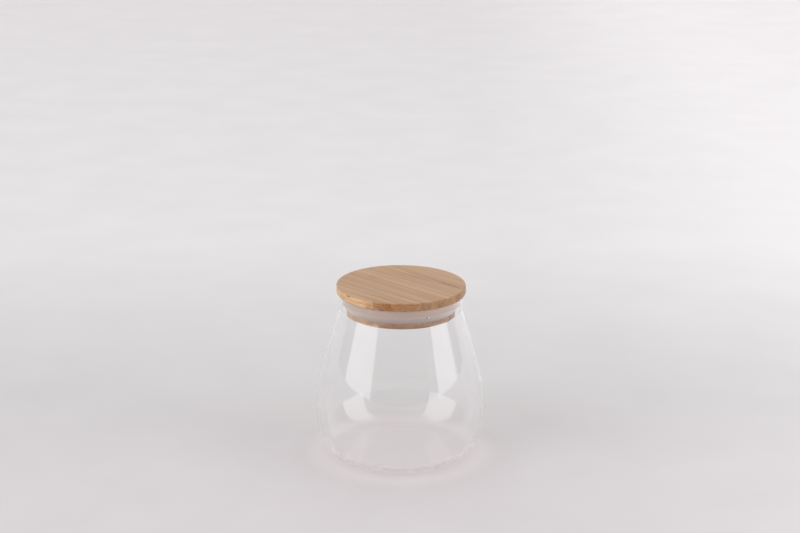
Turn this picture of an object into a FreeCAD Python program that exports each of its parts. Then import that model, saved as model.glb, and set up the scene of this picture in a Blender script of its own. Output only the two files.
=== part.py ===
"""Round storage jar: a blown glass vessel, a turned bamboo lid and a silicone seal ring.

The jar stands on its flat base at Z = 0 with its axis on +Z.  The lid's wide disc rests on the
glass rim, the plug under it hangs in the neck, and the seal ring sits in a channel round the
plug and closes the gap to the inside of the neck.  All three pieces are turned about the axis,
so each one is a half section in the XZ plane: X is the radius and Y is the height.
"""
import FreeCAD, Part
import math
import os
import Sketcher

START, END, CENTRE = 1, 2, 3
ORIGIN = (-1, START)
FLOOR_AXIS, TURNING_AXIS = -1, -2

# name: (value, what it is); lengths in mm
SIZES = {
    "rim_height": (117.7, "height of the glass rim above the base"),
    "neck_radius": (43.2, "outer radius of the upright collar at the rim"),
    "collar_drop": (10.4, "height of the upright collar below the rim"),
    "collar_bend": (4.8, "radius of the bend from the collar into the flaring shoulder"),
    "shoulder_curve": (214.0, "radius of the long gentle curve of the shoulder"),
    "flare_length": (30.8, "length of the straight flare between the shoulder and the collar"),
    "belly_radius": (59.9, "outer radius of the vessel at its widest ring"),
    "belly_height": (33.4, "height of the widest ring"),
    "belly_curve": (52.6, "radius of the belly's curve in section"),
    "heel_curve": (15.7, "radius of the rounded heel in section"),
    "inner_heel_curve": (13.6, "radius of the heel inside the vessel"),
    "wall": (1.8, "thickness of the blown wall"),
    "base_thickness": (2.6, "thickness of the flat base"),
    "rim_round": (0.7, "radius of the fire-polished edges of the rim"),
    "disc_overhang": (1.8, "how far the lid's disc reaches past the collar"),
    "disc_thickness": (5.9, "thickness of the lid's disc"),
    "disc_round": (0.8, "radius of the disc's eased upper edge"),
    "disc_foot_round": (1.2, "radius of the disc's eased lower edge"),
    "plug_length": (14.8, "height of the plug below the disc"),
    "plug_clearance": (3.65, "gap between the plug and the inside of the neck"),
    "plug_round": (0.6, "radius of the plug's eased lower edge"),
    "channel_depth": (2.2, "depth of the seal's channel in the plug"),
    "channel_lift": (4.0, "height of bamboo left below the channel"),
    "channel_drop": (0.7, "height of bamboo left between the channel and the disc"),
    "seal_clearance": (0.05, "gap between the seal's lip and the inside of the neck"),
    "lip_band": (4.7, "height of the lip's band that lies along the glass"),
    "lip_round": (0.4, "radius of the lip's upper edge"),
    "cut_margin": (2.0, "how far a cutting profile runs past the material"),
}


class Length:
    """A length with its number and the sheet formula that it is bound to."""

    def __init__(self, value, formula):
        self.value = value
        self.formula = formula

    def __add__(self, other):
        return Length(self.value + other.value, f"{self.formula} + {other.formula}")

    def __sub__(self, other):
        return Length(self.value - other.value, f"{self.formula} - ({other.formula})")


ZERO = Length(0.0, "0")


def size(name):
    return Length(SIZES[name][0], f"Sizes.{name}")


def make_sheet(doc):
    """The driving dimensions, one row each, with the alias that formulas use."""
    sheet = doc.addObject("Spreadsheet::Sheet", "Sizes")
    for row, (name, (value, meaning)) in enumerate(SIZES.items(), start=1):
        sheet.set(f"A{row}", name)
        sheet.set(f"B{row}", str(value))
        sheet.setAlias(f"B{row}", name)
        sheet.set(f"C{row}", meaning)
    doc.recompute()


def section_sketch(body, name):
    """An empty sketch on the body's own XZ plane."""
    sketch = body.newObject("Sketcher::SketchObject", name)
    plane = next(item for item in body.Origin.OriginFeatures if item.Role == "XZ_Plane")
    sketch.AttachmentSupport = [(plane, "")]
    sketch.MapMode = "FlatFace"
    return sketch


def relate(sketch, kind, *geometry):
    return sketch.addConstraint(Sketcher.Constraint(kind, *geometry))


def drive(sketch, kind, geometry, length):
    """Add a dimension and bind it to the sheet."""
    index = relate(sketch, kind, *geometry, length.value)
    sketch.setExpression(f"Constraints[{index}]", length.formula)


def hold_radius(sketch, point, radius):
    if radius is ZERO:
        relate(sketch, "PointOnObject", *point, TURNING_AXIS)
    else:
        drive(sketch, "DistanceX", (*ORIGIN, *point), radius)


def hold_height(sketch, point, height):
    if height is ZERO:
        relate(sketch, "PointOnObject", *point, FLOOR_AXIS)
    else:
        drive(sketch, "DistanceY", (*ORIGIN, *point), height)


def spot(radius, height):
    return FreeCAD.Vector(radius, height, 0)


def polygon_section(body, name, corners):
    """A closed section with straight sides through corners given as (radius, height)."""
    sketch = section_sketch(body, name)
    count = len(corners)
    spots = [spot(radius.value, height.value) for radius, height in corners]
    for step in range(count):
        sketch.addGeometry(Part.LineSegment(spots[step], spots[(step + 1) % count]), False)
    for step in range(count):
        relate(sketch, "Coincident", step, END, (step + 1) % count, START)
    for step, (radius, height) in enumerate(corners):
        hold_radius(sketch, (step, START), radius)
        hold_height(sketch, (step, START), height)
    return sketch


def arc(centre, radius, first, last):
    circle = Part.Circle(centre, FreeCAD.Vector(0, 0, 1), radius)
    return Part.ArcOfCircle(circle, first, last)


def on_circle(centre, radius, angle):
    return centre + radius * spot(math.cos(angle), math.sin(angle))


def direction(start, end):
    return math.atan2(end.y - start.y, end.x - start.x)


def meeting(first, first_reach, second, second_reach):
    """The point on the axis side at the given reaches from two others."""
    gap = second.distanceToPoint(first)
    along = (first_reach ** 2 - second_reach ** 2 + gap ** 2) / (2 * gap)
    aside = math.sqrt(first_reach ** 2 - along ** 2)
    heading = direction(first, second)
    return on_circle(on_circle(first, along, heading), aside, heading + math.pi / 2)


def vessel_section(body, name, floor, top, inset, heel):
    """The vessel's half section: floor, heel, belly, shoulder, flare, bend and collar.

    Arcs and lines meet tangentially all the way from the floor to the collar.  The inside has
    the same outline moved in by the inset, with a floor and a heel of its own.
    """
    belly = size("belly_curve") - inset
    shoulder = size("shoulder_curve") - inset
    bend = size("collar_bend") + inset
    neck = size("neck_radius") - inset
    belly_middle = size("belly_radius") - size("belly_curve")
    flare_length = size("flare_length")
    collar_foot = size("rim_height") - size("collar_drop")

    # where the arcs meet, so that the sketch starts out solved
    belly_centre = spot(belly_middle.value, size("belly_height").value)
    heel_height = floor.value + heel.value
    heel_reach = math.sqrt((belly.value - heel.value) ** 2 - (belly_centre.y - heel_height) ** 2)
    heel_centre = spot(belly_centre.x + heel_reach, heel_height)
    heel_angle = math.atan2(heel_height - belly_centre.y, heel_reach)
    bend_centre = spot(neck.value + bend.value, collar_foot.value)
    flare_turn = math.atan2(flare_length.value, shoulder.value + bend.value)
    bend_reach = math.hypot(flare_length.value, shoulder.value + bend.value)
    shoulder_centre = meeting(belly_centre, shoulder.value - belly.value, bend_centre, bend_reach)
    shoulder_angle = direction(shoulder_centre, belly_centre)
    flare_angle = direction(shoulder_centre, bend_centre) - flare_turn
    flare_foot = on_circle(shoulder_centre, shoulder.value, flare_angle)
    flare_head = on_circle(bend_centre, -bend.value, flare_angle)

    sketch = section_sketch(body, name)
    floor_line, heel_arc, belly_arc, shoulder_arc, flare, bend_arc, upright, lid_line, middle = range(9)
    sketch.addGeometry([
        Part.LineSegment(spot(0, floor.value), spot(heel_centre.x, floor.value)),
        arc(heel_centre, heel.value, -math.pi / 2, heel_angle),
        arc(belly_centre, belly.value, heel_angle, shoulder_angle),
        arc(shoulder_centre, shoulder.value, shoulder_angle, flare_angle),
        Part.LineSegment(flare_foot, flare_head),
        arc(bend_centre, bend.value, math.pi, math.pi + flare_angle),
        Part.LineSegment(spot(neck.value, collar_foot.value), spot(neck.value, top.value)),
        Part.LineSegment(spot(neck.value, top.value), spot(0, top.value)),
        Part.LineSegment(spot(0, top.value), spot(0, floor.value)),
    ], False)
    for first, second in ((upright, lid_line), (lid_line, middle), (middle, floor_line)):
        relate(sketch, "Coincident", first, END, second, START)
    for level in (floor_line, lid_line):
        relate(sketch, "Horizontal", level)
    joints = (
        (floor_line, END, heel_arc, START),
        (heel_arc, END, belly_arc, START),
        (belly_arc, END, shoulder_arc, START),
        (shoulder_arc, END, flare, START),
        (flare, END, bend_arc, END),
        (bend_arc, START, upright, START),
    )
    for joint in joints:
        relate(sketch, "Tangent", *joint)
    relate(sketch, "Vertical", upright)
    hold_radius(sketch, (floor_line, START), ZERO)
    hold_height(sketch, (floor_line, START), floor)
    hold_radius(sketch, (lid_line, END), ZERO)
    hold_height(sketch, (lid_line, END), top)
    hold_radius(sketch, (upright, START), neck)
    hold_height(sketch, (upright, START), collar_foot)
    hold_radius(sketch, (belly_arc, CENTRE), belly_middle)
    hold_height(sketch, (belly_arc, CENTRE), size("belly_height"))
    drive(sketch, "Distance", (flare,), flare_length)
    for curve, radius in ((heel_arc, heel), (belly_arc, belly), (shoulder_arc, shoulder), (bend_arc, bend)):
        drive(sketch, "Radius", (curve,), radius)
    return sketch


def turn(body, kind, name, sketch):
    """Revolve a section all the way round the axis, as material or as a cut."""
    feature = body.newObject(kind, name)
    feature.Profile = sketch
    feature.ReferenceAxis = (sketch, ["V_Axis"])
    feature.Angle = 360.0
    body.Document.recompute()
    return feature


def ease(body, name, base, rings, radius):
    """Round the circular edges that lie at the given (radius, height) places."""
    places = [(ring_radius.value, ring_height.value) for ring_radius, ring_height in rings]
    names = []
    for index, edge in enumerate(base.Shape.Edges, start=1):
        if not isinstance(edge.Curve, Part.Circle):
            continue
        if any(math.dist((edge.Curve.Radius, edge.Curve.Center.z), place) < 1e-4 for place in places):
            names.append(f"Edge{index}")
    if len(names) != len(rings):
        raise RuntimeError(f"{name}: {len(names)} of {len(rings)} edges found")
    fillet = body.newObject("PartDesign::Fillet", name)
    fillet.Base = (base, names)
    fillet.setExpression("Radius", radius.formula)
    body.Document.recompute()
    return fillet


def make_vessel(doc):
    """Blown glass: the outer form, hollowed from the rim down, with fire-polished rim edges."""
    body = doc.addObject("PartDesign::Body", "glass_vessel")
    rim = size("rim_height")
    outside = vessel_section(body, "vessel_outside", ZERO, rim, ZERO, size("heel_curve"))
    blank = turn(body, "PartDesign::Revolution", "vessel_blank", outside)
    inside = vessel_section(body, "vessel_inside", size("base_thickness"), rim + size("cut_margin"),
                            size("wall"), size("inner_heel_curve"))
    hollow = turn(body, "PartDesign::Groove", "vessel_hollow", inside)
    if hollow.Shape.Volume > 0.3 * blank.Shape.Volume:
        raise RuntimeError("the vessel is not hollow")
    rings = [(size("neck_radius"), rim), (size("neck_radius") - size("wall"), rim)]
    ease(body, "vessel_rim", hollow, rings, size("rim_round"))
    return body


def plug_radius():
    return size("neck_radius") - size("wall") - size("plug_clearance")


def channel_floor():
    return size("rim_height") - size("plug_length") + size("channel_lift")


def channel_roof():
    return size("rim_height") - size("channel_drop")


def make_lid(doc):
    """Bamboo lid in one piece: the disc on the rim, the plug below it and the seal's channel."""
    body = doc.addObject("PartDesign::Body", "bamboo_lid")
    rim = size("rim_height")
    disc = size("neck_radius") + size("disc_overhang")
    top = rim + size("disc_thickness")
    foot = rim - size("plug_length")
    outline = polygon_section(body, "lid_section", [
        (ZERO, foot),
        (plug_radius(), foot),
        (plug_radius(), rim),
        (disc, rim),
        (disc, top),
        (ZERO, top),
    ])
    blank = turn(body, "PartDesign::Revolution", "lid_blank", outline)
    channel = polygon_section(body, "channel_section", [
        (plug_radius() - size("channel_depth"), channel_floor()),
        (plug_radius() + size("cut_margin"), channel_floor()),
        (plug_radius() + size("cut_margin"), channel_roof()),
        (plug_radius() - size("channel_depth"), channel_roof()),
    ])
    cut = turn(body, "PartDesign::Groove", "lid_channel", channel)
    if cut.Shape.Volume >= blank.Shape.Volume:
        raise RuntimeError("the channel removed nothing")
    topped = ease(body, "disc_edge", cut, [(disc, top)], size("disc_round"))
    footed = ease(body, "disc_foot_edge", topped, [(disc, rim)], size("disc_foot_round"))
    ease(body, "plug_edge", footed, [(plug_radius(), foot)], size("plug_round"))
    return body


def make_seal(doc):
    """Silicone ring: it fills the channel, opens out in a cone and lies along the neck's wall."""
    body = doc.addObject("PartDesign::Body", "silicone_seal")
    lip = size("neck_radius") - size("wall") - size("seal_clearance")
    outline = polygon_section(body, "seal_section", [
        (plug_radius() - size("channel_depth"), channel_floor()),
        (plug_radius(), channel_floor()),
        (lip, channel_roof() - size("lip_band")),
        (lip, channel_roof()),
        (plug_radius() - size("channel_depth"), channel_roof()),
    ])
    blank = turn(body, "PartDesign::Revolution", "seal_blank", outline)
    ease(body, "seal_edge", blank, [(lip, channel_roof())], size("lip_round"))
    return body


def check(doc, bodies):
    """Stop before anything is written if a feature failed or a piece is not one sound solid."""
    for item in doc.Objects:
        if "Invalid" in item.State or "Error" in item.State:
            raise RuntimeError(f"{item.Label} did not build: {item.State}")
    for body in bodies:
        shape = body.Shape
        if shape.isNull() or not shape.isValid() or len(shape.Solids) != 1:
            raise RuntimeError(f"{body.Label} is not one sound solid")
        box = shape.optimalBoundingBox(False, False)
        print(f"{body.Label}: {shape.Volume / 1000:.2f} cm3, radius {box.XMax:.2f} mm, "
              f"height {box.ZMin:.2f} to {box.ZMax:.2f} mm")


def main():
    doc = FreeCAD.newDocument("glass_jar")
    make_sheet(doc)
    bodies = [make_vessel(doc), make_lid(doc), make_seal(doc)]
    doc.recompute()
    check(doc, bodies)
    os.makedirs("parts", exist_ok=True)
    for body in bodies:
        body.Shape.exportStep(f"parts/{body.Label}.step")


main()
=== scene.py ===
# %% [markdown]
# # A blown glass storage jar with a bamboo lid
#
# This lesson dresses a small kitchen jar.  It has three pieces: a thin shell of clear
# borosilicate glass, blown wide and low like a drop; a round lid turned from laminated bamboo;
# and a milky silicone ring that seals the lid's plug to the glass.  The construction model
# already holds all three at their real size, so most of the work here is in the finishes:
# what makes glass read as glass, bamboo as bamboo and silicone as silicone.

# %% Load the construction model
import math

import bpy
from mathutils import Matrix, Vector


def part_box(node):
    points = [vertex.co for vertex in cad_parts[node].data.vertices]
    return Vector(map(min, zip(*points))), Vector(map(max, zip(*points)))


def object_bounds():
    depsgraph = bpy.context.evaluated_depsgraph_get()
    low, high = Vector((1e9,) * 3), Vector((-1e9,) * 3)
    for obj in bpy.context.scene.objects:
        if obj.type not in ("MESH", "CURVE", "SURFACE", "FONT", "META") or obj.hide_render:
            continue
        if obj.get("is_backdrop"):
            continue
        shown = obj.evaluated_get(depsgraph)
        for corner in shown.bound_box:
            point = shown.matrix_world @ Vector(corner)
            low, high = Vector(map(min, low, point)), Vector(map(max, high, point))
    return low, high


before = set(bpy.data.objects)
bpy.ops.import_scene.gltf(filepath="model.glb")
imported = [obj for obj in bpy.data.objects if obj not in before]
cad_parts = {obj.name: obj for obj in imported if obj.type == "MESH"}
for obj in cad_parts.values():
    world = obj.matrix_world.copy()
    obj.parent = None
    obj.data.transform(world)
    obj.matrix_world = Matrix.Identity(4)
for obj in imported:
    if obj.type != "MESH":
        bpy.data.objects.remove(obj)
cad_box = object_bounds()
MM = 0.001

print("nodes:", sorted(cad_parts))

# %% [markdown]
# Every position below comes from the model.  The lid's box gives the top of the jar, the
# vessel's box gives its rim, and the seal's box says where the ring begins and ends, so nothing
# has to be lined up by eye.

# %% Measure the pieces
_, vessel_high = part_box("glass_vessel")
_, lid_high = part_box("bamboo_lid")
seal_low, seal_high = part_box("silicone_seal")
jar_height = lid_high.z

print(f"jar {jar_height / MM:.1f} mm high, belly {2 * vessel_high.x / MM:.1f} mm across")
print(f"lid {2 * lid_high.x / MM:.1f} mm across, rim at {vessel_high.z / MM:.1f} mm")

# %% [markdown]
# ## Small helpers for materials
#
# A colour is easiest to choose as the hex value that a screen shows, but shaders add and
# multiply light, so the value is turned to linear once, here.
#
# One function adds a node of any kind: it takes the node's type, its inputs, its settings and,
# for a colour ramp, its stops, and returns it.  An input may be a value, another node's socket,
# or another node, whose first socket in use is then linked.  Sockets that share a name, as in a
# Math node, are given by their number.

# %% Colour and node helpers
def linear(hex_colour):
    """An sRGB hex colour as the linear values that shaders use."""
    channels = [int(hex_colour[start:start + 2], 16) / 255 for start in (0, 2, 4)]
    straight = [c / 12.92 if c <= 0.04045 else ((c + 0.055) / 1.055) ** 2.4 for c in channels]
    return (*straight, 1.0)


def node(tree, kind, inputs=None, stops=(), steps="LINEAR", **settings):
    """Add a node with its settings and colour stops, and fill or link its inputs."""
    made = tree.nodes.new(kind)
    for name, value in settings.items():
        setattr(made, name, value)
    if stops:
        made.color_ramp.interpolation = steps
        while len(made.color_ramp.elements) < len(stops):
            made.color_ramp.elements.new(0.5)
        for element, (position, colour) in zip(made.color_ramp.elements, stops):
            element.position = position
            element.color = linear(colour)
    for name, value in (inputs or {}).items():
        if isinstance(name, int):
            goal = made.inputs[name]
        else:
            goal = next(place for place in made.inputs if place.enabled and place.name == name)
        if isinstance(value, bpy.types.Node):
            value = next(result for result in value.outputs if result.enabled)
        if isinstance(value, bpy.types.NodeSocket):
            tree.links.new(value, goal)
        else:
            goal.default_value = value
    return made


print(f"white is {linear('FFFFFF')[0]:.1f}, the screen's middle grey {linear('808080')[0]:.3f}")

# %% [markdown]
# A material starts empty.  When it is done, a piece of the construction model wears it in
# place of the plain one that it came with.

# %% Start a material and dress a piece
def new_material(name):
    """An empty material and its node tree."""
    made = bpy.data.materials.new(name)
    made.use_nodes = True
    made.node_tree.nodes.clear()
    return made, made.node_tree


def dress(piece, material):
    """Give a piece of the construction model its material."""
    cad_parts[piece].material_slots[0].material = material
    print(f"{piece}: {material.name}, {len(material.node_tree.nodes)} nodes")


print("pieces to dress:", len(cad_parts))

# %% [markdown]
# ## The glass
#
# Laboratory-style borosilicate glass is very clear, with none of the green of window glass.
# It was blown and then flame-polished, so its roughness is zero, but it was never pressed
# against a polished mould: slow waves a few centimetres long bend its reflections a little.
# A Principled shader with full transmission and the refractive index of borosilicate does
# most of it, because the vessel is a real shell with an inside and an outside.  A single thin
# sheet would be simpler, but it would neither bend the view nor double its reflections.

# %% The glass that is seen
BOROSILICATE_IOR = 1.473
BLOWN_WAVE = 28 * MM
WAVE_HEIGHT = 1 * MM
WAVE_STRENGTH = 0.06


def blown_glass(tree):
    """Clear glass with slow waves in its surface."""
    place = node(tree, "ShaderNodeTexCoord")
    waves = node(tree, "ShaderNodeTexNoise", {
        "Vector": place.outputs["Object"], "Scale": 1 / BLOWN_WAVE, "Detail": 1.0,
    })
    wobble = node(tree, "ShaderNodeBump", {
        "Height": waves, "Strength": WAVE_STRENGTH, "Distance": WAVE_HEIGHT,
    })
    return node(tree, "ShaderNodeBsdfPrincipled", {
        "Base Color": linear("FFFFFF"),
        "Roughness": 0.0,
        "IOR": BOROSILICATE_IOR,
        "Transmission Weight": 1.0,
        "Normal": wobble,
    })


print(f"glass: index {BOROSILICATE_IOR}, waves {BLOWN_WAVE / MM:.0f} mm long")

# %% [markdown]
# Clear glass lets nearly all light through to what is behind it, but a path tracer finds that
# light badly: a shadow ray can't bend.  So the rays that only gather light, which are shadow
# and diffuse rays, pass straight through, and the rays that are seen still bend and reflect.
# Light that strikes the wall at a shallow angle is thrown off it, so less of it passes there,
# and that leaves the soft shadow under the jar's round heel.
#
# A ray that has been reflected many times inside the thin wall also passes straight out,
# because the renderer would drop it and leave a black line along the glass.  Most of what is
# seen at the very rim of the outline passes straight too: blown glass has no flats, and the
# model's small flat faces would break its soft outline into dashes there.

# %% Light through the glass
MOST_REFLECTIONS = 2.5
OUTLINE = (0.8, 0.97)
OUTLINE_CLEAR = 0.8
THROUGH_WALL = [(0.6, "FFFEFE"), (0.97, "DEDBDB")]


def outline_rays(tree, path, shallow):
    """1 for trapped rays, and nearly 1 at the very rim of the outline."""
    trapped = node(tree, "ShaderNodeMath", {
        0: path["Glossy Depth"], 1: MOST_REFLECTIONS,
    }, operation="GREATER_THAN")
    skimmed = node(tree, "ShaderNodeMapRange", {
        "Value": shallow, "From Min": OUTLINE[0], "From Max": OUTLINE[1],
        "To Min": 0.0, "To Max": OUTLINE_CLEAR,
    }, interpolation_type="SMOOTHSTEP")
    return node(tree, "ShaderNodeMath", {0: trapped, 1: skimmed}, operation="MAXIMUM")


def borosilicate_glass():
    """Glass that bends what is seen and lets the studio's light straight through."""
    material, tree = new_material("blown_borosilicate_glass")
    path = node(tree, "ShaderNodeLightPath").outputs
    shallow = node(tree, "ShaderNodeLayerWeight", {"Blend": 0.5}).outputs["Facing"]
    clear = node(tree, "ShaderNodeBsdfTransparent", {"Color": linear("FFFFFF")})
    seen = node(tree, "ShaderNodeMixShader", {
        0: outline_rays(tree, path, shallow), 1: blown_glass(tree), 2: clear,
    })
    gathers = node(tree, "ShaderNodeMath", {
        0: path["Is Shadow Ray"], 1: path["Is Diffuse Ray"],
    }, operation="MAXIMUM")
    passed = node(tree, "ShaderNodeValToRGB", {"Fac": shallow}, stops=THROUGH_WALL)
    shaded = node(tree, "ShaderNodeBsdfTransparent", {"Color": passed})
    both = node(tree, "ShaderNodeMixShader", {0: gathers, 1: seen, 2: shaded})
    node(tree, "ShaderNodeOutputMaterial", {"Surface": both})
    return material


dress("glass_vessel", borosilicate_glass())

# %% [markdown]
# ## The bamboo
#
# A lid like this is turned from a board of bamboo strips glued side by side.  Each strip was
# cut from a different cane, so each has its own tone, and a thin dark line of glue shows at
# each joint.  The board could be modelled strip by strip, but the strips are glued for good
# and turned as one, so they belong in the finish: a solid pattern, worked out in three
# dimensions, so that every face of the lid cuts through the same wood.

# %% The board's strips
GRAIN_TURN = math.radians(45)
STRIP_WIDTH = 5.6 * MM
STRIP_START = -42 * MM
STRIP_TONES = [
    "FFFFFF", "FFFFFF", "F8F5F1", "FFFFFF", "F6F2EE", "FFFFFF", "F1E8E0", "FBF6F1",
    "FFFFFF", "EBE2DC", "F4EFEC", "FFFFFF", "F3EFEC", "FFFFFF", "F6F3F0", "FFFFFF",
]
GLUE_LINE = [(0.46, "FFFFFF"), (0.5, "A98260")]


def strips(tree, across_grain):
    """The strip's number, its tone, and the colour of its glued joints."""
    from_first = node(tree, "ShaderNodeMath", {
        0: across_grain, 1: STRIP_START,
    }, operation="SUBTRACT")
    counted = node(tree, "ShaderNodeMath", {0: from_first, 1: STRIP_WIDTH}, operation="DIVIDE")
    number = node(tree, "ShaderNodeMath", {0: counted}, operation="FLOOR")
    middle = node(tree, "ShaderNodeMath", {0: number, 1: 0.5}, operation="ADD")
    share = node(tree, "ShaderNodeMath", {
        0: middle, 1: 1 / len(STRIP_TONES),
    }, operation="MULTIPLY")
    stops = [(count / len(STRIP_TONES), tone) for count, tone in enumerate(STRIP_TONES)]
    tone = node(tree, "ShaderNodeValToRGB", {"Fac": share}, stops=stops, steps="CONSTANT")
    within_strip = node(tree, "ShaderNodeMath", {0: counted}, operation="FRACT")
    off_middle = node(tree, "ShaderNodeMath", {0: within_strip, 1: 0.5}, operation="SUBTRACT")
    distance = node(tree, "ShaderNodeMath", {0: off_middle}, operation="ABSOLUTE")
    glue = node(tree, "ShaderNodeValToRGB", {"Fac": distance}, stops=GLUE_LINE)
    return number, tone, glue


print(f"board: {len(STRIP_TONES)} strips, each {STRIP_WIDTH / MM:.1f} mm wide")

# %% [markdown]
# Along a strip run fine darker fibres; where the turned edge cuts across them they show as
# dots.  One pattern of cells does both: it is stretched along the grain, so it is seen as long
# streaks from the side and as dots from the end.  A softer noise, stretched the same way, adds
# the slower change from pale to dark wood.  Real bundles of fibres lie about half a millimetre
# apart, which is too fine to show from here, so they are drawn at twice that.

# %% The fibres
FIBRE_SPACING = 1.1 * MM
FIBRE_LENGTH = 60 * MM
STREAKS_PER_FIBRE = 0.45
FIBRE_DOTS = [(0.15, "9A7248"), (0.42, "FFFFFF")]
SLOW_STREAKS = [(0.3, "C6A27C"), (0.6, "FFFFFF")]


def fibres(tree, grain):
    """The fibres, their colour, and the colour of the slower streaks."""
    stretched = node(tree, "ShaderNodeMapping", {
        "Vector": grain,
        "Scale": (1 / FIBRE_LENGTH, 1 / FIBRE_SPACING, 1 / FIBRE_SPACING),
    })
    bundles = node(tree, "ShaderNodeTexVoronoi", {"Vector": stretched, "Scale": 1.0})
    dots = node(tree, "ShaderNodeValToRGB", {"Fac": bundles}, stops=FIBRE_DOTS)
    slow = node(tree, "ShaderNodeTexNoise", {
        "Vector": stretched, "Scale": STREAKS_PER_FIBRE, "Detail": 3.0,
    })
    streaks = node(tree, "ShaderNodeValToRGB", {"Fac": slow}, stops=SLOW_STREAKS)
    return bundles, dots, streaks


print(f"fibres: every {FIBRE_SPACING / MM:.1f} mm, about {FIBRE_LENGTH / MM:.0f} mm long")

# %% [markdown]
# The same wood looks different on each face.  The sanded top is pale and a little grey.  On
# the turned edge the finish soaks in: where the edge runs along the strips it turns golden,
# and where it cuts through the ends of the fibres it turns dark, like a wet brush.  The edge's
# colour also holds painted light and shade: it is brightest towards the front-left and the left,
# where the left soft box shines, and darkest just left of the front.  The plug was left unoiled,
# so its edge is greyer.

# %% How each face takes the finish
GRAIN_DIRECTION = (math.cos(GRAIN_TURN), -math.sin(GRAIN_TURN), 0)
SIDE_TO_LEVEL = (0.35, 0.85)
SANDED_TOP = "C7A079"
UNOILED = "B0907A"
UNOILED_SHARE = 0.5
# Grain colour round the edge plus painted light and shade: brightest facing front-left, darkest
# just left of the front.
EDGE_GRAIN_AND_PAINTED_LIGHT = [
    (0.0, "C19971"), (0.2, "E2B991"), (0.56, "F2C899"), (0.775, "BC8553"), (1.0, "C19971"),
]


def faces(tree, facing):
    """How level a face is, from 0 to 1, and how squarely it cuts the fibres, from -1 to 1."""
    upwards = node(tree, "ShaderNodeSeparateXYZ", {"Vector": facing}).outputs["Z"]
    either_way = node(tree, "ShaderNodeMath", {0: upwards}, operation="ABSOLUTE")
    level = node(tree, "ShaderNodeMapRange", {
        "Value": either_way, "From Min": SIDE_TO_LEVEL[0], "From Max": SIDE_TO_LEVEL[1],
    })
    end_cut = node(tree, "ShaderNodeVectorMath", {
        0: facing, 1: GRAIN_DIRECTION,
    }, operation="DOT_PRODUCT")
    return level, end_cut


def face_colour(tree, position, level, end_cut):
    """Colour by face: sanded top, long-grain edge, end grain, with painted light on the edge."""
    end_to_end = node(tree, "ShaderNodeMapRange", {"Value": end_cut, "From Min": -1.0})
    # This ramp by direction carries painted light and shade as well as the grain's own change.
    oiled = node(tree, "ShaderNodeValToRGB", {"Fac": end_to_end}, stops=EDGE_GRAIN_AND_PAINTED_LIGHT)
    height = node(tree, "ShaderNodeSeparateXYZ", {"Vector": position}).outputs["Z"]
    on_plug = node(tree, "ShaderNodeMath", {0: height, 1: vessel_high.z}, operation="LESS_THAN")
    unoiled = node(tree, "ShaderNodeMath", {
        0: on_plug, 1: UNOILED_SHARE,
    }, operation="MULTIPLY")
    edge = node(tree, "ShaderNodeMix", {
        "Factor": unoiled, "A": oiled, "B": linear(UNOILED),
    }, data_type="RGBA")
    return node(tree, "ShaderNodeMix", {
        "Factor": level, "A": edge, "B": linear(SANDED_TOP),
    }, data_type="RGBA")


print(f"the wood below {vessel_high.z / MM:.1f} mm is the plug, left unoiled")

# %% [markdown]
# This lid has a few marks of its own: dark lines where a cane's skin was planed away, a short
# streak, a knot like a pinprick, and small chips along the disc's edges.  They could be cut
# with a small tool, but they are tones, or nicks too shallow to change the outline, so they are
# drawn in the wood.  Each is a stretched ball in the board, given in mm by its middle and its
# half-sizes along the grain, across it and upwards.

# %% Marks in the wood
PLANED = "E6D6C8"
PLANED_LINES = [
    ((6, 23.4, 123), (33, 1.2, 40)), ((-6, 18.6, 123), (21, 0.9, 40)),
    ((-25, -3.6, 123), (5.5, 1.1, 40)), ((27, 22, 123), (16, 2.4, 40)),
]
MARK_SKIN = 0.5
CHIPPED = "B98E6A"
CHIPS = [
    ((37.4, -6, 123.6), (0.5, 0.5, 0.5)), ((-6.6, -44.9, 122.9), (3.2, 1.6, 0.6)),
    ((21.3, -39.7, 118.2), (2.6, 1.6, 0.8)), ((15.5, -42, 118.4), (0.9, 1, 0.6)),
]


def mark(tree, position, middle, half_sizes):
    """1 inside a stretched ball, fading to 0 at its skin; all in mm."""
    away = node(tree, "ShaderNodeVectorMath", {
        0: position, 1: [value * MM for value in middle],
    }, operation="SUBTRACT")
    sized = node(tree, "ShaderNodeVectorMath", {
        0: away, 1: [value * MM for value in half_sizes],
    }, operation="DIVIDE")
    reach = node(tree, "ShaderNodeVectorMath", {0: sized}, operation="LENGTH")
    return node(tree, "ShaderNodeMapRange", {
        "Value": reach, "From Min": MARK_SKIN, "To Min": 1.0, "To Max": 0.0,
    })


def marked(tree, colour, grain):
    """Darken the wood's colour at each of its marks."""
    for shade, marks in ((PLANED, PLANED_LINES), (CHIPPED, CHIPS)):
        for middle, half_sizes in marks:
            colour = node(tree, "ShaderNodeMix", {
                "Factor": mark(tree, grain, middle, half_sizes), "A": colour, "B": linear(shade),
            }, data_type="RGBA", blend_type="MULTIPLY")
    return colour


print(f"marks: {len(PLANED_LINES)} dark lines and {len(CHIPS)} chips")

# %% [markdown]
# The first strip is darker towards one end, as a strip is that was cut close to a joint of its
# cane.  The position along the grain says how far along it a place lies.

# %% The first strip's dark end
DARK_END = (2 * MM, 12 * MM)
DARK_END_SHARE = 0.55
DARK_END_TONE = "E4D4C4"


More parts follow.
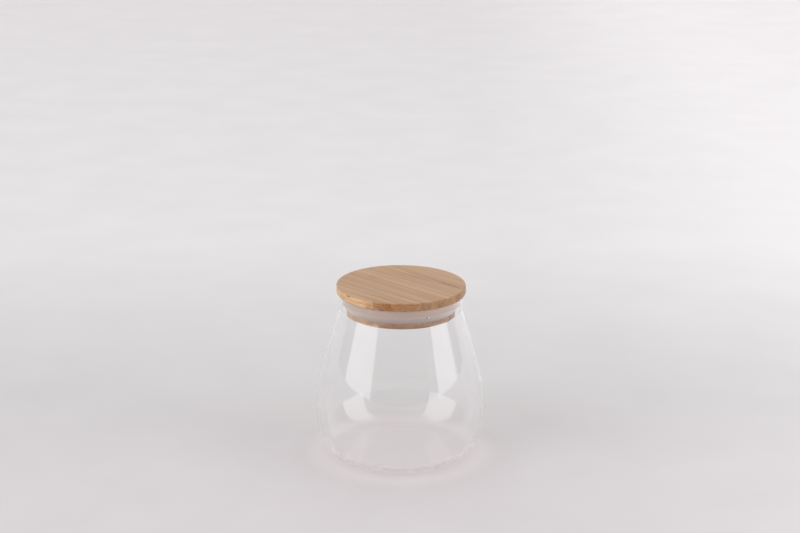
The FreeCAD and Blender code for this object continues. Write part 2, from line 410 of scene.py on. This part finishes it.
def dark_end(tree, number, along_grain, on_edge):
    """How strongly the first strip darkens towards its end."""
    first = node(tree, "ShaderNodeMath", {0: number, 1: 0.0, 2: 0.5}, operation="COMPARE")
    end = node(tree, "ShaderNodeMapRange", {
        "Value": along_grain, "From Min": DARK_END[0], "From Max": DARK_END[1],
        "To Max": DARK_END_SHARE,
    })
    only_first = node(tree, "ShaderNodeMath", {0: first, 1: end}, operation="MULTIPLY")
    return node(tree, "ShaderNodeMath", {0: only_first, 1: on_edge}, operation="MULTIPLY")


print(f"dark end: fades in over {(DARK_END[1] - DARK_END[0]) / MM:.0f} mm")

# %% [markdown]
# The colour puts these together.  The strips differ most on the turned edge, because the oil
# brings out the wood there, and hardly on the sanded top.  Each layer multiplies the one below
# it, as a stain or a shadow in the wood does, more or less strongly.

# %% The wood's colour
TOP_TONE_SHARE = 0.35
END_GRAIN = 0.25
DOT_SHARES = (0.3, 0.7)
STREAK_SHARE = 0.4
GLUE_SHARE = 0.25


def wood_colour(tree, place, grain, bundle_dots, streaks):
    """The wood's colour on each face, darkened by its strips, fibres and glue lines."""
    parts = node(tree, "ShaderNodeSeparateXYZ", {"Vector": grain}).outputs
    level, end_cut = faces(tree, place["Normal"])
    on_edge = node(tree, "ShaderNodeMapRange", {
        "Value": level, "To Min": 1.0, "To Max": TOP_TONE_SHARE,
    })
    end_dots = node(tree, "ShaderNodeMapRange", {
        "Value": end_cut, "From Max": END_GRAIN,
        "To Min": DOT_SHARES[0], "To Max": DOT_SHARES[1],
    })
    number, tone, glue = strips(tree, parts["Y"])
    at_end = dark_end(tree, number, parts["X"], on_edge)
    colour = face_colour(tree, place["Object"], level, end_cut)
    for amount, shade in (
        (on_edge, tone), (at_end, linear(DARK_END_TONE)), (end_dots, bundle_dots),
        (STREAK_SHARE, streaks), (GLUE_SHARE, glue),
    ):
        colour = node(tree, "ShaderNodeMix", {
            "Factor": amount, "A": colour, "B": shade,
        }, data_type="RGBA", blend_type="MULTIPLY")
    return colour


print(f"dots: {DOT_SHARES[0]} strong along the grain, {DOT_SHARES[1]} on the end grain")

# %% [markdown]
# Fine sanding and a thin coat of oil leave a satin surface: a moderate roughness, with the
# fibres standing a little proud, because the softer wood between them wears away first.

# %% Laminated bamboo
SATIN = 0.38
FIBRE_RELIEF = 0.1 * MM
RELIEF_STRENGTH = 0.15


def laminated_bamboo():
    """Turned, sanded and oiled bamboo, cut from a glued board."""
    material, tree = new_material("laminated_bamboo")
    place = node(tree, "ShaderNodeTexCoord").outputs
    grain = node(tree, "ShaderNodeMapping", {
        "Vector": place["Object"], "Rotation": (0, 0, GRAIN_TURN),
    })
    bundles, bundle_dots, streaks = fibres(tree, grain)
    colour = wood_colour(tree, place, grain, bundle_dots, streaks)
    proud = node(tree, "ShaderNodeBump", {
        "Height": bundles, "Strength": RELIEF_STRENGTH, "Distance": FIBRE_RELIEF,
    })
    wood = node(tree, "ShaderNodeBsdfPrincipled", {
        "Base Color": marked(tree, colour, grain), "Roughness": SATIN, "Normal": proud,
    })
    node(tree, "ShaderNodeOutputMaterial", {"Surface": wood})
    return material


dress("bamboo_lid", laminated_bamboo())

# %% [markdown]
# ## The silicone
#
# Uncoloured food-grade silicone is milky: light goes in, scatters and comes out nearby, so the
# ring glows softly and shows a hint of the wood behind it.  Subsurface scattering over a few
# millimetres gives that, with a satin surface on top.  Milky silicone scatters all colours
# alike, so the three scattering distances are equal.  A plain white surface would render
# sooner, but it would look like hard plastic.
#
# A fine bloom on the skin shows as a faint sheen where the ring turns away.  The ring's colour
# is painted darker towards its bottom and lighter towards its top, under the disc: painted shade
# low down and painted light high up.  One trapped bubble shows as a dark speck with a painted
# highlight on its bright side.

# %% Milky silicone
SILICONE_IOR = 1.41
SCATTER = 3 * MM
# Painted shade at the bottom of the ring, painted light at its top.
SEAL_PAINTED_SHADE_TO_LIGHT = [(0.1, "B09C8E"), (0.8, "D5C0B2")]
BUBBLE_AND_HIGHLIGHT = [
    ((17.4, -37, 110.8), (0.8, 3, 0.9), "22160F"),
    # The bubble's white side is a painted highlight.
    ((18.5, -36.8, 110.9), (0.7, 3, 0.9), "FFFFFF"),
]


def ring_colour(tree, position):
    """Painted shade low on the ring, painted light high up, and one bubble with a highlight."""
    parts = node(tree, "ShaderNodeSeparateXYZ", {"Vector": position}).outputs
    height = node(tree, "ShaderNodeMapRange", {
        "Value": parts["Z"], "From Min": seal_low.z, "From Max": seal_high.z,
    })
    colour = node(tree, "ShaderNodeValToRGB", {"Fac": height}, stops=SEAL_PAINTED_SHADE_TO_LIGHT)
    for middle, half_sizes, tint in BUBBLE_AND_HIGHLIGHT:
        colour = node(tree, "ShaderNodeMix", {
            "Factor": mark(tree, position, middle, half_sizes), "A": colour, "B": linear(tint),
        }, data_type="RGBA")
    return colour


def milky_silicone():
    """Milky rubber with a satin skin."""
    material, tree = new_material("milky_silicone")
    place = node(tree, "ShaderNodeTexCoord")
    rubber = node(tree, "ShaderNodeBsdfPrincipled", {
        "Base Color": ring_colour(tree, place.outputs["Object"]),
        "Roughness": 0.3,
        "Coat Weight": 1.0,
        "Coat Roughness": 0.25,
        "Coat IOR": 1.6,
        "Sheen Weight": 0.5,
        "Sheen Roughness": 0.5,
        "IOR": SILICONE_IOR,
        "Subsurface Weight": 1.0,
        "Subsurface Radius": (1.0, 1.0, 1.0),
        "Subsurface Scale": SCATTER,
    })
    node(tree, "ShaderNodeOutputMaterial", {"Surface": rubber})
    return material


dress("silicone_seal", milky_silicone())
ring_height = seal_high.z - seal_low.z
print(f"ring {ring_height / MM:.1f} mm high, light scatters over {SCATTER / MM:.0f} mm")

# %% [markdown]
# ## The floor
#
# The jar stands on pale studio paper that runs far past the view in every direction.  The
# paper's tone holds painted shade round the jar and painted light behind it and to the right, and
# has the faint cloudy tone of real paper under soft light.  A round glass wall also gathers some
# light into a pale ring on the paper round its foot.  Rays that pass straight through the glass
# can't do that, so the ring is painted light in the paper's tone.

# %% Painted light on the paper
CLOUD_SIZE = 70 * MM
CLOUD_GAIN = (0.985, 1.015)
RIGHT_SIDE = (0.05, 0.5)
# Painted light: the paper grows brighter towards the right.
RIGHT_PAINTED_LIGHT = 1.18
RING_RADIUS = 56 * MM
RING_SPREAD = 16 * MM
RING_GAIN = 1.09


def pale_ring(tree, position):
    """The light that the round wall gathers on the paper round its foot."""
    from_axis = node(tree, "ShaderNodeVectorMath", {0: position}, operation="LENGTH")
    from_ring = node(tree, "ShaderNodeMath", {0: from_axis, 1: RING_RADIUS}, operation="SUBTRACT")
    off_ring = node(tree, "ShaderNodeMath", {0: from_ring}, operation="ABSOLUTE")
    return node(tree, "ShaderNodeMapRange", {
        "Value": off_ring, "From Max": RING_SPREAD, "To Min": RING_GAIN, "To Max": 1.0,
    }, interpolation_type="SMOOTHSTEP")


def painted_paper_light(tree, position, rightwards):
    """How much painted light brightens the paper's tone at each place, with its faint clouds."""
    aside = node(tree, "ShaderNodeMapRange", {
        "Value": rightwards, "From Min": RIGHT_SIDE[0], "From Max": RIGHT_SIDE[1],
        "To Min": 1.0, "To Max": RIGHT_PAINTED_LIGHT,
    }, interpolation_type="SMOOTHSTEP")
    clouds = node(tree, "ShaderNodeTexNoise", {
        "Vector": position, "Scale": 1 / CLOUD_SIZE, "Detail": 2.0,
    })
    cloudy = node(tree, "ShaderNodeMapRange", {
        "Value": clouds, "From Min": 0.3, "From Max": 0.7,
        "To Min": CLOUD_GAIN[0], "To Max": CLOUD_GAIN[1],
    })
    uneven = node(tree, "ShaderNodeMath", {0: aside, 1: cloudy}, operation="MULTIPLY")
    return node(tree, "ShaderNodeMath", {
        0: uneven, 1: pale_ring(tree, position),
    }, operation="MULTIPLY")


print(f"pale ring {2 * RING_RADIUS / MM:.0f} mm across, {RING_GAIN:.2f} times as bright")

# %% [markdown]
# Paper has no gloss, so a plain diffuse shader is enough.  The sheet lies a hair under the
# jar's base, so the two never share a plane.

# %% Studio paper
FLOOR_HALF = 6.0
FLOOR_DROP = 0.05 * MM
FRONT_TO_BACK = (-0.3, 2.1)
# The paper's pale tone, with painted shade around the jar's depth and painted light further
# behind.
PAPER_TONE_AND_PAINTED_LIGHT = [
    (0.0, "E5E0E2"), (0.08, "E4DFE1"), (0.17, "DFDCDD"),
    (0.21, "E2DFE0"), (0.34, "F0EDEE"), (1.0, "EBE7E9"),
]


def studio_paper():
    """Pale paper whose tone, with painted shade and light, runs from front to back."""
    material, tree = new_material("studio_paper")
    position = node(tree, "ShaderNodeTexCoord").outputs["Object"]
    parts = node(tree, "ShaderNodeSeparateXYZ", {"Vector": position}).outputs
    depth = node(tree, "ShaderNodeMapRange", {
        "Value": parts["Y"], "From Min": FRONT_TO_BACK[0], "From Max": FRONT_TO_BACK[1],
    })
    tone = node(tree, "ShaderNodeValToRGB", {"Fac": depth}, stops=PAPER_TONE_AND_PAINTED_LIGHT)
    lit = node(tree, "ShaderNodeVectorMath", {
        0: tone, "Scale": painted_paper_light(tree, position, parts["X"]),
    }, operation="SCALE")
    paper = node(tree, "ShaderNodeBsdfDiffuse", {"Color": lit})
    node(tree, "ShaderNodeOutputMaterial", {"Surface": paper})
    return material


bpy.ops.object.select_all(action="DESELECT")
bpy.ops.mesh.primitive_plane_add(size=2 * FLOOR_HALF, location=(0, 0, 0))
floor = bpy.context.object
floor.name = "studio_floor"
floor.data.transform(Matrix.Translation((0, 0, -FLOOR_DROP)))
floor.data.materials.append(studio_paper())
floor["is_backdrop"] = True
print(f"{floor.name}: {2 * FLOOR_HALF:.0f} m wide, {FLOOR_DROP / MM:.2f} mm under the base")

# %% [markdown]
# ## The light
#
# The studio is all in the world, as a picture of the room by direction: pale walls, a dim
# space in front where the camera stands, and two tall soft boxes, one on each side.  Lamps so
# large and far away light the floor evenly, and their long reflections draw the round form of
# the glass.  Separate lamps could give the same light, but glass shows everything round it, so
# the whole room is painted at once.  Azimuth is measured from the front, to the right;
# elevation is measured upwards.

# %% Painting a room by direction
world = bpy.data.worlds.new("studio")
world.use_nodes = True
bpy.context.scene.world = world
room = world.node_tree
room.nodes.clear()

looking = node(room, "ShaderNodeTexCoord")
towards = node(room, "ShaderNodeSeparateXYZ", {"Vector": looking.outputs["Generated"]}).outputs
forwards = node(room, "ShaderNodeMath", {0: towards["Y"], 1: -1.0}, operation="MULTIPLY")
azimuth = node(room, "ShaderNodeMath", {0: towards["X"], 1: forwards}, operation="ARCTAN2")
elevation = node(room, "ShaderNodeMath", {0: towards["Z"]}, operation="ARCSINE")


def within(angle, low, high, soft):
    """1 where an angle lies between low and high, fading to 0 over the soft width; in degrees."""
    middle = math.radians((low + high) / 2)
    half = math.radians((high - low) / 2)
    from_middle = node(room, "ShaderNodeMath", {0: angle, 1: middle}, operation="SUBTRACT")
    off = node(room, "ShaderNodeMath", {0: from_middle}, operation="ABSOLUTE")
    return node(room, "ShaderNodeMapRange", {
        "Value": off, "From Min": half, "From Max": half + math.radians(soft),
        "To Min": 1.0, "To Max": 0.0,
    }, interpolation_type="SMOOTHSTEP")


def paint(level, strength, azimuths, elevations, soft):
    """Paint a rectangle of the room at the given strength over the level so far."""
    wide = within(azimuth, *azimuths, soft)
    tall = within(elevation, *elevations, soft)
    mask = node(room, "ShaderNodeMath", {0: wide, 1: tall}, operation="MULTIPLY")
    return node(room, "ShaderNodeMix", {"Factor": mask, "A": level, "B": strength})


print("world:", world.name)

# %% [markdown]
# Each rectangle is painted over the ones before it: the dim space in front, the brighter
# ceiling, then the left and the right soft box.  What the camera sees directly behind the paper
# has a level of its own, as a backdrop that is lit apart.

# %% Studio
WALL_LEVEL = 0.755
BACKDROP_LEVEL = 0.8
FRONT_LEVEL = 0.315
CEILING_LEVEL = 0.85
BOX_LEVEL = 2.15
ROOM = [
    (FRONT_LEVEL, (-105, 105), (-90, 48), 10),
    (CEILING_LEVEL, (-180, 180), (60, 90), 8),
    (BOX_LEVEL, (-86, -43), (0, 58), 2),
    (BOX_LEVEL, (56, 90), (0, 58), 2),
]

level = WALL_LEVEL
for rectangle in ROOM:
    level = paint(level, *rectangle)
path = node(room, "ShaderNodeLightPath")
seen = node(room, "ShaderNodeMix", {
    "Factor": path.outputs["Is Camera Ray"], "A": level, "B": BACKDROP_LEVEL,
})
sky = node(room, "ShaderNodeBackground", {"Color": linear("FFFFFF"), "Strength": seen})
node(room, "ShaderNodeOutputWorld", {"Surface": sky})
print(f"soft boxes {BOX_LEVEL / WALL_LEVEL:.1f} times as bright as the walls")

# %% [markdown]
# ## The camera
#
# A short telephoto lens from a little above the lid, as for a catalogue picture: far enough
# away that the round lid and base keep their natural ellipses.

# %% Camera
LENS = 85
SENSOR_WIDTH = 36
CAMERA_DISTANCE = 1250.7 * MM
CAMERA_RISE = 396.6 * MM
CAMERA_SIDE = -0.9 * MM
CAMERA_PITCH = math.radians(17.07)
CAMERA_ROLL = math.radians(0.4)

lens = bpy.data.cameras.new("catalogue_camera")
lens.lens = LENS
lens.sensor_width = SENSOR_WIDTH
camera = bpy.data.objects.new("catalogue_camera", lens)
bpy.context.scene.collection.objects.link(camera)
spot = Matrix.Translation((CAMERA_SIDE, -CAMERA_DISTANCE, jar_height + CAMERA_RISE))
tilt = Matrix.Rotation(math.pi / 2 - CAMERA_PITCH, 4, "X")
roll = Matrix.Rotation(CAMERA_ROLL, 4, "Z")
camera.matrix_world = spot @ tilt @ roll
bpy.context.scene.camera = camera
bpy.context.scene.view_settings.view_transform = "Standard"
print(f"camera: {LENS} mm lens, {camera.location.length:.2f} m from the jar's foot")

# %% [markdown]
# ## Check the size and finish
#
# The finishes add no shape of their own, so the dressed jar and the construction model fill the
# same box.

# %% Finish
dressed_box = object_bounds()
for name, (low, high) in (("model", cad_box), ("dressed", dressed_box)):
    print(f"{name}: {(high.x - low.x) / MM:.1f} mm across, {(high.z - low.z) / MM:.1f} mm high")
